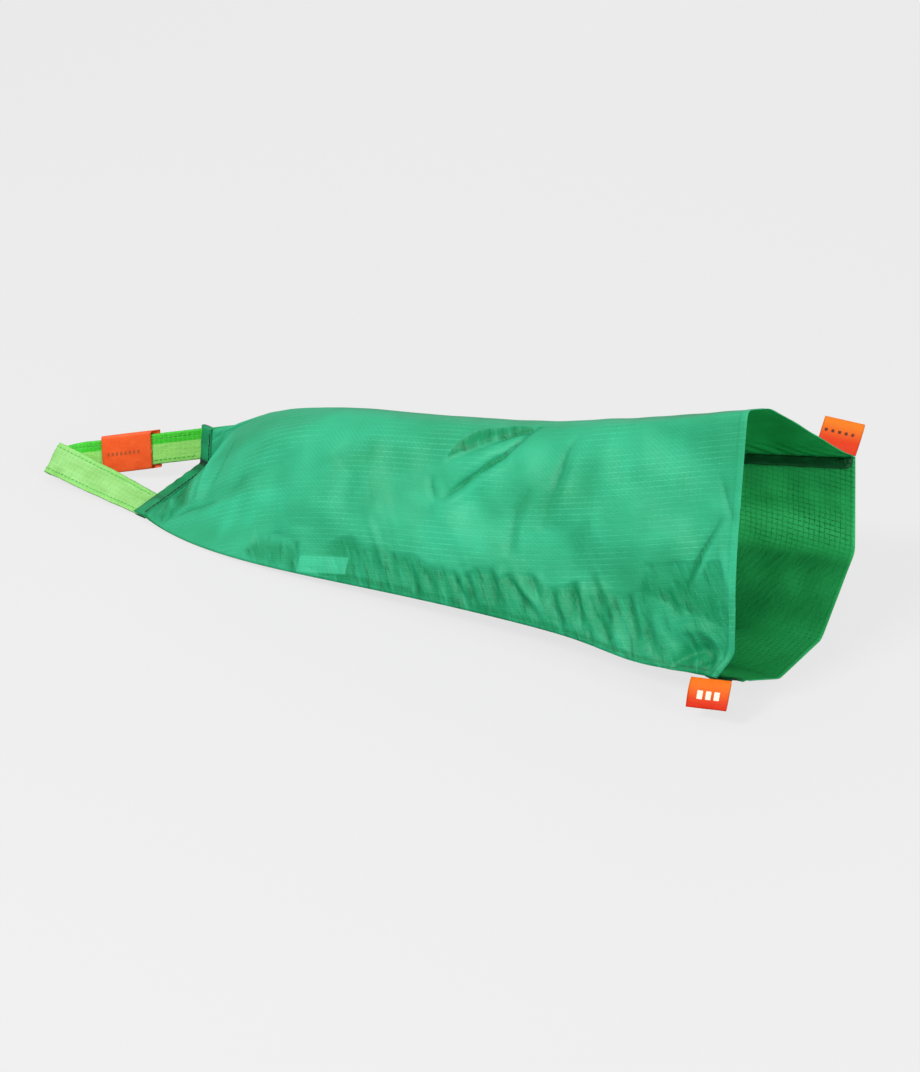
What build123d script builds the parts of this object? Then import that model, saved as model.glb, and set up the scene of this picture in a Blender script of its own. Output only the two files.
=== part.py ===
from build123d import *
from math import cos, radians, sin
import os

os.makedirs("parts", exist_ok=True)

# A tapered sleeve of thin ripstop cloth that lies on its side with its wide mouth open towards +X.
# Two panels are sewn together along an upper and a lower side seam. The narrow end is folded into a
# flat stitched hem, which also holds both ends of a pull loop with a tag that slides on it. The
# origin is on the floor, below the middle of the whole object. X runs along the sleeve, Y from its
# near side to its far side, and Z is up.

# ---- Driving dimensions, in millimetres and degrees ----
CLOTH = 0.8  # stands for one layer of cloth with its creases
HEM_X = -158.0  # middle of the hem band, where it crosses Y = 0
SLEEVE_Y = 0.6  # the sections are drawn across from here
HEM_YAW = 11.0  # how far the hem is turned about Z
HEM_WIDTH = 6.5
HEM_LAYERS = 2.2  # both panels and their turned edges, pressed together
HEM_STITCH = 1.0  # from the hem's inner edge to its stitched row
MOUTH_X = 251.2  # where the mouth's rim meets the floor
MOUTH_LEAN = 8.0  # the rim leans back towards -X
SEAM_TRIM = 1.6  # the back panel stops this far short of the front one at a side seam
SEAM_ROOT = 3.0  # from the seam's corner to its turned-in edge
SEAM_DEPTH = 6.0  # how far the turned-in edge stands into the sleeve
SEAM_LAYERS = 1.2
THREAD = 0.5  # a stitched row is a narrow flat rib
THREAD_RISE = 0.3
CARE_LABEL_LENGTH = 26.0
CARE_LABEL_HEIGHT = 10.0
CARE_LABEL_LAYER = 0.4
CARE_LABEL_GAP = 0.6  # between the front panel and the label
CARE_LABEL_START = 6.0  # from the lower seam's corner
CARE_LABEL_AT = 0.3  # share of the way from the hem to the mouth
STRAP_WIDTH = 20.5
STRAP_LAYERS = 1.2
STRAP_ROW = 2.2  # from the strap's edge to its stitched row
NEAR_GAP = 3.2  # room to swing between the hem and the strap, at the lower arm
FAR_GAP = 4.5  # and at the upper arm
TIP = Vector(-246.8, -39.4, 13.0)  # middle of the strap where it starts to turn back
TIP_CREASE = Vector(0.0, 0.68, 0.73)  # the strap's width is tilted this way at the tip
TIP_RADIUS = 2.6
TIP_TURNS = (42, 84, 126, 168)
TWIST_LENGTH = 24.0  # after the tip, the far leg twists upright over this length
TAG_LENGTH = 38.0
TAG_HEIGHT = 25.4
TAG_FROM_START = 22.0  # from the far leg's sewn end
TAG_CLEARANCE = 0.7  # between the tag's inside and the strap's faces
TAG_LAYER = 0.8
LABEL_LENGTH = 24.0  # along the side seam
LABEL_HEIGHT = 15.0  # from its sewn edge to its free one
LABEL_LAYERS = 1.0
LABEL_TILT = 8.0  # the end away from the mouth stands further from the seam
# The seam's corner, the label's distances from the rim and from that corner, and its direction from
# the seam in the mouth's plane, turned from across towards up.
LABELS = {
    "upper": {"corner": 4, "from_rim": 0.0, "standoff": 3.6, "angle": 52.0},
    "lower": {"corner": 0, "from_rim": -1.0, "standoff": 0.8, "angle": -128.0},
}

# The cross-section has corners at the lower seam, over the top, at the upper seam and back along the
# floor. Each is given as (across, up) at the narrow end and at the mouth, with the fullness that it
# gains a fifth of the way along.
FULL_AT = 0.2
STATIONS = (0.0, 0.1, FULL_AT, 0.36, 0.62, 1.0)
FRONT_CORNERS = (
    {"narrow": (-58.6, 2.8), "mouth": (-84.0, 24.0), "full": (-11.0, -5.0)},
    {"narrow": (-46.4, 5.6), "mouth": (-76.0, 35.5), "full": (-11.0, 4.0)},
    {"narrow": (-3.5, 15.8), "mouth": (-39.0, 162.0), "full": (-14.0, 28.0)},
    {"narrow": (-2.5, 31.0), "mouth": (-14.0, 153.5), "full": (0.0, 20.5)},
    {"narrow": (-1.0, 40.6), "mouth": (81.0, 88.0), "full": (4.0, 6.0)},
)
BACK_CORNERS = (
    {"narrow": (1.4, 40.6), "mouth": (81.0, 88.0), "full": (4.0, 6.0)},
    {"narrow": (0.2, 29.0), "mouth": (72.0, 33.0), "full": (12.0, 0.0)},
    {"narrow": (-1.6, 13.4), "mouth": (22.5, 0.0), "full": (12.0, -14.0)},
    {"narrow": (-45.8, 3.4), "mouth": (-29.0, 0.0), "full": (-2.0, -6.0)},
    {"narrow": (-58.1, 0.6), "mouth": (-84.0, 24.0), "full": (-11.0, -5.0)},
)


def write(piece, name):
    piece.part.label = name
    export_step(piece.part, f"parts/{name}.step")


def unit(v):
    return v * (1 / v.length)


# ---- The sleeve's sections ----
def section_plane(t):
    """The plane of the cross-section at share t of the sleeve, with its origin on the floor."""
    start = HEM_X + HEM_WIDTH / 2
    yaw, lean = radians(HEM_YAW * (1 - t)), radians(MOUTH_LEAN * t)
    across = Vector(sin(yaw), cos(yaw), 0)
    facing = Vector(cos(yaw) * cos(lean), -sin(yaw) * cos(lean), sin(lean))
    along = start + (MOUTH_X - start) * t
    return Plane(origin=(along, SLEEVE_Y, 0), x_dir=across, z_dir=facing)


def fullness(t):
    """0 at both ends and 1 at FULL_AT."""
    fade = (1 - FULL_AT) / FULL_AT
    return t * (1 - t) ** fade / (FULL_AT * (1 - FULL_AT) ** fade)


def corner_at(corner, t):
    (y0, z0), (y1, z1), (dy, dz) = corner["narrow"], corner["mouth"], corner["full"]
    across = y0 + (y1 - y0) * t + dy * fullness(t)
    up = z0 + (z1 - z0) * t + dz * fullness(t)
    return Vector(across, max(up, 0))


def inward_of(direction):
    """The sleeve's inside is on this side of a panel's line."""
    return Vector(direction.Y, -direction.X)


def offset_line(points, depth):
    """The line of points moved inward by depth, with sharp corners."""
    sides = [inward_of(unit(b - a)) for a, b in zip(points, points[1:])]
    moved = []
    for point, before, after in zip(points, sides[:1] + sides, sides + sides[-1:]):
        moved.append(point + (before + after) * (depth / (1 + before.dot(after))))
    return moved


def draw_strip(points, outer, inner):
    """A closed strip between two depths below a line of points."""
    outline = offset_line(points, outer) + offset_line(points, inner)[::-1]
    Polygon(*[(p.X, p.Y) for p in outline], align=None)


# ---- Sleeve: two panels ----
def cloth_panel(corners, trim):
    """One panel from the hem to the mouth, stopped short of the side seams by trim."""
    with BuildPart() as panel:
        for t in STATIONS:
            line = [corner_at(c, t) for c in corners]
            line[0] += unit(line[1] - line[0]) * trim
            line[-1] += unit(line[-2] - line[-1]) * trim
            with BuildSketch(section_plane(t)):
                draw_strip(line, 0, CLOTH)
        loft(ruled=True)
    return panel


write(cloth_panel(FRONT_CORNERS, 0), "front_panel")
write(cloth_panel(BACK_CORNERS, SEAM_TRIM), "back_panel")

# ---- Sleeve: the hem across the narrow end, with a stitched row on both faces ----
hem_line = [corner_at(FRONT_CORNERS[i], 0) for i in (0, 2, 4)]

with BuildPart() as end_hem:
    with BuildSketch(section_plane(0)):
        draw_strip(hem_line, 0, HEM_LAYERS)
    extrude(amount=-HEM_WIDTH)
write(end_hem, "end_hem")

with BuildPart() as end_hem_stitching:
    with BuildSketch(section_plane(0).offset(-HEM_STITCH)):
        draw_strip(hem_line, -THREAD_RISE, 0)
        draw_strip(hem_line, HEM_LAYERS, HEM_LAYERS + THREAD_RISE)
    extrude(amount=-THREAD)
write(end_hem_stitching, "end_hem_stitching")


# ---- Sleeve: the side seams' turned-in edges, with their stitched rows ----
def seam_line(end, t, start, length):
    """A line from start to start + length into the sleeve, halving the angle at a side seam."""
    corners = {"upper": (4, 3, 1), "lower": (0, 1, 3)}
    at, ahead, behind = corners[end]
    corner = corner_at(FRONT_CORNERS[at], t)
    ahead, behind = corner_at(FRONT_CORNERS[ahead], t), corner_at(BACK_CORNERS[behind], t)
    inward = unit(unit(ahead - corner) + unit(behind - corner))
    return [corner + inward * start, corner + inward * (start + length)]


def seam_ribbon(end, start, length, outer, inner):
    """A ribbon along a side seam, from where the sleeve is full to the mouth."""
    with BuildPart() as ribbon:
        for t in STATIONS[STATIONS.index(FULL_AT) :]:
            with BuildSketch(section_plane(t)):
                draw_strip(seam_line(end, t, start, length), outer, inner)
        loft(ruled=True)
    return ribbon


for end in ("upper", "lower"):
    face = SEAM_LAYERS / 2
    row = SEAM_ROOT + SEAM_DEPTH / 3
    write(seam_ribbon(end, SEAM_ROOT, SEAM_DEPTH, -face, face), f"{end}_side_seam")
    write(seam_ribbon(end, row, THREAD, face, face + THREAD_RISE), f"{end}_seam_stitching")

# ---- Sleeve: the care label inside, caught in the lower seam and lying against the front panel ----
def on_panel(corner, t):
    """A corner of the front panel between two stations, where its faces run straight."""
    before = max(s for s in STATIONS if s <= t)
    after = min(s for s in STATIONS if s > t)
    share = (t - before) / (after - before)
    return corner_at(corner, before) * (1 - share) + corner_at(corner, after) * share


with BuildPart() as care_label:
    for t in (CARE_LABEL_AT, CARE_LABEL_AT + CARE_LABEL_LENGTH / (MOUTH_X - HEM_X)):
        low, high = on_panel(FRONT_CORNERS[0], t), on_panel(FRONT_CORNERS[1], t)
        along = unit(high - low)
        start = low + along * CARE_LABEL_START
        line = [start, start + along * CARE_LABEL_HEIGHT]
        depth = CLOTH + CARE_LABEL_GAP
        with BuildSketch(section_plane(t)):
            draw_strip(line, depth, depth + CARE_LABEL_LAYER)
    loft(ruled=True)
write(care_label, "care_label")


# ---- Pull loop: one strap from the hem's lower arm, round the tip, to the hem's upper arm ----
def hem_edge_point(first, second, distance):
    """A point in the hem's outer edge, distance along an arm from its first corner."""
    start, end = hem_line[first], hem_line[second]
    along = unit(end - start)
    depth = Vector(0, -HEM_LAYERS / 2)
    return section_plane(0).offset(-HEM_WIDTH).from_local_coords(start + along * distance + depth)


def square_to(path, direction):
    return unit(direction - path * direction.dot(path))


near_root = hem_edge_point(0, 1, STRAP_WIDTH / 2)
far_root = hem_edge_point(2, 1, STRAP_WIDTH / 2 + 1)
near_path = unit(TIP - near_root)
near_width = square_to(near_path, near_root - hem_edge_point(0, 1, 0))
tip_crease = square_to(near_path, TIP_CREASE)
toward_far = near_path.cross(tip_crease)
far_tip = TIP + toward_far * (2 * TIP_RADIUS)
far_path = unit(far_root - far_tip)
far_level = unit(Vector(far_path.X, far_path.Y, 0))
far_end = far_root - far_path * FAR_GAP
straight_start = far_tip + far_path * TWIST_LENGTH


def strap_planes():
    """Planes square to the strap, with their x along its width, from the near root to the far one."""
    planes = []
    leg = TIP - near_root
    for share in (NEAR_GAP / leg.length, 0.5, 1):
        width = near_width * (1 - share) + tip_crease * share
        planes.append(Plane(near_root + leg * share, x_dir=width, z_dir=near_path))
    centre = TIP + toward_far * TIP_RADIUS
    for turn in TIP_TURNS:
        c, s = cos(radians(turn)), sin(radians(turn))
        place = centre + (near_path * s - toward_far * c) * TIP_RADIUS
        planes.append(Plane(place, x_dir=tip_crease, z_dir=near_path * c + toward_far * s))
    for place in (straight_start, far_end):
        planes.append(Plane(place, x_dir=(0, 0, 1), z_dir=far_level))
    return planes


def strap_sections(planes, across, out, width, thickness):
    """The strap's own section, or that of a row on it, in each of these planes."""
    sections = []
    for plane in planes:
        with BuildSketch(plane, mode=Mode.PRIVATE) as section:
            with Locations((across, out)):
                Rectangle(width, thickness)
        sections.append(section.sketch)
    return sections


with BuildPart() as pull_strap:
    loft(strap_sections(strap_planes(), 0, 0, STRAP_WIDTH, STRAP_LAYERS), ruled=True)
write(pull_strap, "pull_strap")

near_leg, far_leg = strap_planes()[:3], strap_planes()[-3:]
row_across = STRAP_WIDTH / 2 - STRAP_ROW
row_out = (STRAP_LAYERS + THREAD_RISE) / 2
for name, across in (("upper", row_across), ("lower", -row_across)):
    with BuildPart() as row:
        for leg in (near_leg, far_leg):
            for out in (-row_out, row_out):
                loft(strap_sections(leg, across, out, THREAD, THREAD_RISE), ruled=True)
    write(row, f"strap_{name}_stitching")

# ---- Tag: a flat band round the far leg, which slides along its straight stretch ----
tag_start = far_end - far_path * TAG_FROM_START
tag_plane = Plane(tag_start, x_dir=(0, 0, 1), z_dir=-far_level)
tag_gap = STRAP_LAYERS + 2 * TAG_CLEARANCE

with BuildPart() as strap_tag:
    with BuildSketch(tag_plane):
        Rectangle(TAG_HEIGHT, tag_gap + 2 * TAG_LAYER)
        Rectangle(TAG_HEIGHT - 2 * TAG_LAYER, tag_gap, mode=Mode.SUBTRACT)
    extrude(amount=TAG_LENGTH, dir=-far_path)
write(strap_tag, "strap_tag")

with BuildPart() as strap_tag_stitching:
    with BuildSketch(Plane(tag_start - far_path * 2 * THREAD, x_dir=(0, 0, 1), z_dir=-far_level)):
        for side in (-1, 1):
            with Locations((0, side * (tag_gap / 2 + TAG_LAYER + THREAD_RISE / 2))):
                Rectangle(TAG_HEIGHT - 2 * TAG_LAYER, THREAD_RISE)
    extrude(amount=THREAD, dir=-far_path)
write(strap_tag_stitching, "strap_tag_stitching")


# ---- Labels: two folded tabs at the mouth, each swinging on its edge in a side seam ----
def label_plane(corner, standoff, angle):
    """At the seam's rim, x along the seam away from the mouth, y towards the label's free edge."""
    rim = section_plane(1).from_local_coords(corner_at(corner, 1))
    before = section_plane(STATIONS[-2]).from_local_coords(corner_at(corner, STATIONS[-2]))
    seam = unit(before - rim)
    mouth = section_plane(1)
    turned = mouth.x_dir * cos(radians(angle)) + mouth.y_dir * sin(radians(angle))
    away = square_to(seam, turned)
    return Plane(rim + away * standoff, x_dir=seam, z_dir=seam.cross(away))


for end, place in LABELS.items():
    plane = label_plane(FRONT_CORNERS[place["corner"]], place["standoff"], place["angle"])
    with BuildPart() as label:
        with BuildSketch(plane.offset(-LABEL_LAYERS / 2)):
            with Locations(Location((place["from_rim"], 0), LABEL_TILT)):
                Rectangle(LABEL_LENGTH, LABEL_HEIGHT, align=Align.MIN)
        extrude(amount=LABEL_LAYERS)
    write(label, f"{end}_label")
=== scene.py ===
import bpy
import math
import numpy as np
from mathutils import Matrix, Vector


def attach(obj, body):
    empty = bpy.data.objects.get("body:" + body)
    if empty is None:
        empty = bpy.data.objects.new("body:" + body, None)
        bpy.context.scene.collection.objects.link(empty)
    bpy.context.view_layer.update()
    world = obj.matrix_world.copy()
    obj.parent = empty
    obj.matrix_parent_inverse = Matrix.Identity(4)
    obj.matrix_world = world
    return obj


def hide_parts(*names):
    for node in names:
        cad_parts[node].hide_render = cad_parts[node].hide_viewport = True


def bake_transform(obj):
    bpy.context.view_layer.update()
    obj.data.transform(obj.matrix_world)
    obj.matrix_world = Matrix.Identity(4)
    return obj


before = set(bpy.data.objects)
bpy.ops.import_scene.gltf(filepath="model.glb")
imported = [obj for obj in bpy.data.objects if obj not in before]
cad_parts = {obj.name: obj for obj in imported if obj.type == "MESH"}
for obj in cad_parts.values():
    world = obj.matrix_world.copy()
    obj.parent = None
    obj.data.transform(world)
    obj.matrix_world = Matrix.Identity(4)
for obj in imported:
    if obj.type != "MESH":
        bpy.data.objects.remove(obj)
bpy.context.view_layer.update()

MM = 0.001

# ---- The sleeve's sections, in millimetres: the same corners as the CAD panels ----
HEM_X, HEM_WIDTH, HEM_YAW, SLEEVE_Y = -158.0, 6.5, 11.0, 0.6
MOUTH_X, MOUTH_LEAN, FULL_AT = 251.2, 8.0, 0.2
HEM_START = HEM_X + HEM_WIDTH / 2
SLEEVE_LENGTH = MOUTH_X - HEM_START
FRONT = np.array([
    [(-58.6, 2.8), (-84.0, 24.0), (-11.0, -5.0)],
    [(-46.4, 5.6), (-76.0, 35.5), (-11.0, 4.0)],
    [(-3.5, 15.8), (-39.0, 162.0), (-14.0, 28.0)],
    [(-2.5, 31.0), (-14.0, 153.5), (0.0, 20.5)],
    [(-1.0, 40.6), (81.0, 88.0), (4.0, 6.0)],
])
BACK = np.array([
    [(1.4, 40.6), (81.0, 88.0), (4.0, 6.0)],
    [(0.2, 29.0), (72.0, 33.0), (12.0, 0.0)],
    [(-1.6, 13.4), (22.5, 0.0), (12.0, -14.0)],
    [(-45.8, 3.4), (-29.0, 0.0), (-2.0, -6.0)],
    [(-58.1, 0.6), (-84.0, 24.0), (-11.0, -5.0)],
])
CLOTH = 0.35  # one layer, in millimetres


def fullness(t):
    fade = (1 - FULL_AT) / FULL_AT
    return t * (1 - t) ** fade / (FULL_AT * (1 - FULL_AT) ** fade)


def section_frame(t):
    """Origin, across, up and facing of the cross-sections at shares t, in millimetres."""
    t = np.atleast_1d(np.asarray(t, float))
    yaw, lean = np.radians(HEM_YAW * (1 - t)), np.radians(MOUTH_LEAN * t)
    across = np.stack([np.sin(yaw), np.cos(yaw), 0 * t], -1)
    facing = np.stack([np.cos(yaw) * np.cos(lean), -np.sin(yaw) * np.cos(lean), np.sin(lean)], -1)
    origin = np.stack([HEM_START + SLEEVE_LENGTH * t, 0 * t + SLEEVE_Y, 0 * t], -1)
    return origin, across, np.cross(facing, across), facing


def corners_at(table, t):
    t = np.atleast_1d(t)[:, None, None]
    narrow, mouth, full = table[None, :, 0], table[None, :, 1], table[None, :, 2]
    found = narrow + (mouth - narrow) * t + full * fullness(t)
    found[..., 1] = np.maximum(found[..., 1], 0)
    return found


def unit(v):
    v = np.asarray(v, float)
    return v / np.linalg.norm(v, axis=-1, keepdims=True)


def sample(where, known, points):
    """The points of a line at where, from its points at known."""
    return np.stack([np.interp(where, known, points[:, k]) for k in range(points.shape[1])], -1)


def length_along(line):
    return np.r_[0, np.cumsum(np.linalg.norm(np.diff(line, axis=0), axis=1))]


def shares(table):
    """How far round the panel its corners are at the mouth, from 0 to 1."""
    run = length_along(table[:, 1])
    return run / run[-1]


def soften(line, sigma):
    """Rounds a line of points with a Gaussian of sigma samples and keeps its two ends."""
    reach = int(3 * sigma) + 1
    if reach < 2:
        return line
    before = 2 * line[0] - line[1:reach + 1][::-1]
    after = 2 * line[-1] - line[-reach - 1:-1][::-1]
    kernel = np.exp(-0.5 * (np.arange(-reach, reach + 1) / sigma) ** 2)
    kernel /= kernel.sum()
    whole = np.vstack([before, line, after])
    return np.stack([np.convolve(whole[:, i], kernel, "valid") for i in (0, 1)], -1)


def waves(x, y, wavelength, seed, heading=0.0, spread=math.pi, count=9):
    """Smooth ripples between about -1 and 1. heading is the way across the ripples, in radians."""
    draw = np.random.default_rng(seed)
    total = 0
    for _ in range(count):
        angle = heading + draw.uniform(-spread, spread)
        k = 2 * math.pi / (wavelength * draw.uniform(0.7, 1.5))
        across = x * math.cos(angle) + y * math.sin(angle)
        total = total + np.sin(k * across + draw.uniform(0, 2 * math.pi))
    return total / math.sqrt(count)


def fold(x, y, path, depth, width, crisp=1.4, ends=0.5):
    """A fold along a path of flat points: depth at its middle, fading over width and to its ends."""
    path = np.array(path, float)
    runs = length_along(path)
    best, along = np.full(x.shape, 1e9), np.zeros(x.shape)
    for a, b, start in zip(path, path[1:], runs):
        d = b - a
        u = np.clip(((x - a[0]) * d[0] + (y - a[1]) * d[1]) / (d @ d), 0, 1)
        far = np.hypot(x - a[0] - u * d[0], y - a[1] - u * d[1])
        along = np.where(far < best, (start + u * np.linalg.norm(d)) / runs[-1], along)
        best = np.minimum(best, far)
    return depth * np.sin(math.pi * along) ** ends * np.exp(-(best / width) ** crisp)


def ease(x, low, high):
    u = np.clip((x - low) / (high - low), 0, 1)
    return u * u * (3 - 2 * u)


class Panel:
    """One panel as a grid of points: rows along the sleeve, columns round it."""

    def __init__(self, table, rows, columns):
        self.t = np.linspace(0, 1, rows)
        self.s = np.linspace(0, 1, columns)
        at = shares(table)
        flat = corners_at(table, self.t)
        origin, across, up, _ = section_frame(self.t)
        grid = np.zeros((rows, columns, 3))
        self.width, self.run = np.zeros(rows), np.zeros((rows, columns))
        for i, t in enumerate(self.t):
            line = sample(self.s, at, flat[i])
            round_by = 0.011 + 0.034 * ease(t, 0.0, 0.25) * (1 - ease(t, 0.6, 0.97))
            line = soften(line, round_by * columns)
            line[:, 1] = np.maximum(line[:, 1], 0)
            self.run[i] = length_along(line)
            self.width[i] = self.run[i, -1]
            grid[i] = origin[i] + line[:, :1] * across[i] + line[:, 1:] * up[i]
        self.grid = grid
        self.x = np.repeat(self.t[:, None] * SLEEVE_LENGTH, columns, 1)
        self.y = (self.s[None, :] - 0.5) * self.width[:, None]
        self.edge = np.minimum(self.s, 1 - self.s)[None, :] * self.width[:, None]

    def place(self, t, s):
        """The flat point of shares t and s."""
        return t * SLEEVE_LENGTH, (s - 0.5) * np.interp(t, self.t, self.width)

    def normals(self):
        """Out of the sleeve."""
        along, round_ = np.gradient(self.grid, axis=0), np.gradient(self.grid, axis=1)
        n = np.cross(round_, along)
        n /= np.linalg.norm(n, axis=2, keepdims=True) + 1e-12
        return -n

    def push(self, height):
        self.grid = self.grid + self.normals() * height[..., None]


def leave_hem_flat(panel):
    """Holds the first few millimetres in line with the hem, so that its stitching lies flat."""
    origin, _, _, facing = section_frame(panel.t)
    straight = panel.grid[0] + (origin - origin[0])[:, None, :]
    near_hem = 1 - ease(panel.t, 0.005, 0.034)
    off_edges = ease(np.minimum(panel.s, 1 - panel.s), 0.0, 0.1)
    held = near_hem[:, None] * off_edges[None, :]
    panel.grid = panel.grid + (straight - panel.grid) * held[..., None]


front, back = Panel(FRONT, 260, 190), Panel(BACK, 220, 150)
leave_hem_flat(front)
leave_hem_flat(back)


def outward_sign(panel):
    """1 if the panel's normals point out of the sleeve, and -1 if they point in."""
    core = (front.grid.mean((0, 1)) + back.grid.mean((0, 1))) / 2
    row = panel.grid.shape[0] // 2
    middle = panel.grid[row].mean(0)
    away = middle - core * [0, 1, 1] - [middle[0], 0, 0]
    return 1 if (panel.normals()[row].mean(0) * away).sum() > 0 else -1


front_sign, back_sign = outward_sign(front), outward_sign(back)
HANG, HANG_AT, HANG_SPAN, HANG_REACH = 3.6, 0.86, 0.075, 26  # how far, at which share, over what


def let_hang(panel, t, from_seam):
    """Lets the cloth by the lower seam hang out and down a little, not far from the mouth."""
    hang = HANG * np.exp(-((t - HANG_AT) / HANG_SPAN) ** 2) * np.exp(-(from_seam / HANG_REACH) ** 2)
    panel.grid[..., 2] -= hang * 0.8
    panel.grid[..., 1] -= hang * 0.6


# ---- Front panel: the folds and puckers that the cloth holds ----
CORNER_PULL, CORNER_REACH = 8.0, 17.0  # how far the mouth's lower corner is pulled back, and over what
BULGE, CREASE_ENDS = 8.0, 4.0
x, y, t, s = front.x, front.y, front.t[:, None] + 0 * front.x, front.s[None, :] + 0 * front.x
P = front.place
from_lower = s * front.width[:, None]
inside_edges = ease(front.edge, 0, 22)
rounded = np.sin(math.pi * np.clip(s / 0.5, 0, 1) ** 0.85)
height = BULGE * rounded * ease(t, 0.02, 0.35) * (1 - 0.6 * ease(t, 0.7, 1))
calm = (1 - 0.75 * ease(t, 0.9, 1)) * (1 - 0.75 * ease(s, 0.42, 0.52) * (1 - ease(s, 0.62, 0.72)))
height += inside_edges * 1.9 * waves(x, y, 95, 3, heading=1.1, spread=0.8) * calm
height += inside_edges * 0.6 * waves(x, y, 34, 5, heading=0.6, spread=0.9) * calm
height *= ease(t, 0.004, 0.04)
creases = [  # path in shares along and round, depth and width in millimetres, and how much painted shade it gets, painted highlight where negative
    # the triangular fold over the top, and the long crease below it
    ([(0.505, 0.40), (0.56, 0.45), (0.605, 0.50), (0.648, 0.535)], -2.8, 2.4, 0.4),
    ([(0.505, 0.41), (0.515, 0.455), (0.535, 0.505), (0.59, 0.53), (0.645, 0.53)], 1.2, 1.8, -0.3),
    ([(0.505, 0.268), (0.52, 0.29), (0.56, 0.365), (0.60, 0.425), (0.62, 0.475), (0.628, 0.53)],
     -2.6, 2.5, 0.9),
    ([(0.505, 0.25), (0.53, 0.275), (0.575, 0.345), (0.62, 0.41)], 2.0, 5.0, -0.2),
    ([(0.52, 0.32), (0.55, 0.39), (0.59, 0.45)], 2.2, 6.0, 0.1),
    ([(0.486, 0.35), (0.493, 0.315), (0.508, 0.272)], -1.4, 2.0, 0.4),
    # the wrinkles in the middle
    ([(0.64, 0.155), (0.64, 0.235), (0.64, 0.28), (0.66, 0.34)], -1.7, 3.2, 0.5),
    ([(0.655, 0.17), (0.655, 0.24), (0.665, 0.30)], 1.0, 3.0, -0.1),
    ([(0.683, 0.24), (0.70, 0.36), (0.705, 0.44), (0.72, 0.49)], -1.7, 3.6, 0.45),
    ([(0.71, 0.26), (0.72, 0.36), (0.727, 0.44)], 1.2, 4.0, -0.2),
    # near the mouth
    ([(0.973, 0.308), (0.945, 0.235), (0.93, 0.18), (0.915, 0.135)], -1.9, 2.1, 0.75),
    ([(0.980, 0.30), (0.953, 0.227), (0.938, 0.172)], 1.1, 1.6, -0.5),
    ([(0.963, 0.39), (0.978, 0.34), (0.993, 0.295)], -0.9, 1.6, 0.35),
    ([(0.972, 0.26), (0.985, 0.20), (0.996, 0.15)], 0.9, 1.6, -0.6),
    # out of the hem: a bright ridge up to the top with a crease on each side
    ([(0.058, 0.56), (0.058, 0.38), (0.084, 0.12)], 3.0, 3.4, -0.6),
    ([(0.035, 0.50), (0.045, 0.40), (0.058, 0.28), (0.074, 0.12)], -2.4, 2.2, 0.6),
    ([(0.085, 0.50), (0.092, 0.30), (0.097, 0.14)], -1.8, 2.4, 0.4),
    ([(0.01, 0.22), (0.03, 0.17), (0.056, 0.09)], -2.2, 2.4, 0.6),
    ([(0.008, 0.15), (0.025, 0.11), (0.045, 0.06)], 1.6, 2.2, -0.5),
    ([(0.058, 0.0), (0.05, 0.025), (0.09, 0.095), (0.135, 0.15)], -1.4, 1.6, 0.5),
    ([(0.09, 0.13), (0.145, 0.19), (0.16, 0.25), (0.26, 0.375)], -1.4, 6.0, 0.3),
    ([(0.10, 0.09), (0.16, 0.15), (0.20, 0.23)], 1.6, 6.0, -0.1),
    ([(0.01, 0.56), (0.06, 0.60), (0.16, 0.64)], -1.6, 2.6, 0.5),
    ([(0.01, 0.64), (0.06, 0.70), (0.13, 0.80)], 1.4, 3.0, -0.3),
    ([(0.01, 0.74), (0.05, 0.80), (0.12, 0.88)], -1.2, 2.8, 0.4),
    ([(0.30, 0.56), (0.21, 0.40), (0.16, 0.24)], 1.6, 9.0, 0.0),
    ([(0.33, 0.36), (0.30, 0.24), (0.30, 0.12)], 1.6, 12.0, 0.0),
    ([(0.22, 0.05), (0.26, 0.075), (0.30, 0.06)], -1.6, 3.0, 0.3),
]
# puckers pulled up from the lower seam: each a crease with a ridge on its mouth side, with painted shade in
# the crease and a little painted highlight on the ridge
for top, low, depth in (
    ((0.475, 0.09), (0.515, 0.01), 1.0), ((0.515, 0.075), (0.545, 0.005), 0.8),
    ((0.555, 0.085), (0.595, 0.005), 1.5), ((0.58, 0.085), (0.607, 0.01), 1.3),
    ((0.615, 0.12), (0.637, 0.03), 1.7), ((0.64, 0.11), (0.705, 0.02), 1.8),
    ((0.675, 0.13), (0.70, 0.07), 1.0), ((0.715, 0.10), (0.735, 0.02), 1.2),
    ((0.745, 0.125), (0.772, 0.03), 2.2), ((0.775, 0.15), (0.80, 0.09), 1.0),
    ((0.795, 0.065), (0.818, 0.02), 1.6), ((0.835, 0.13), (0.86, 0.04), 1.5),
    ((0.865, 0.10), (0.885, 0.03), 1.2), ((0.895, 0.15), (0.92, 0.10), 1.0),
):
    creases.append(([top, low], -1.25 * depth, 2.2, 0.24 * depth))
    creases.append(([(top[0] + 0.011, top[1]), (low[0] + 0.010, low[1])], 0.95 * depth, 2.4, -0.08 * depth))
tone = np.zeros(x.shape)
for path, depth, width, painted_shade in creases:
    shape = fold(x, y, [P(*q) for q in path], 1.0, width)
    height += ease(t, 0.006, 0.03) * ease(front.edge, 0, CREASE_ENDS) * shape * depth
    # painted shade in the creases and painted highlight on the ridges
    tone -= shape ** 1.4 * painted_shade
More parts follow.
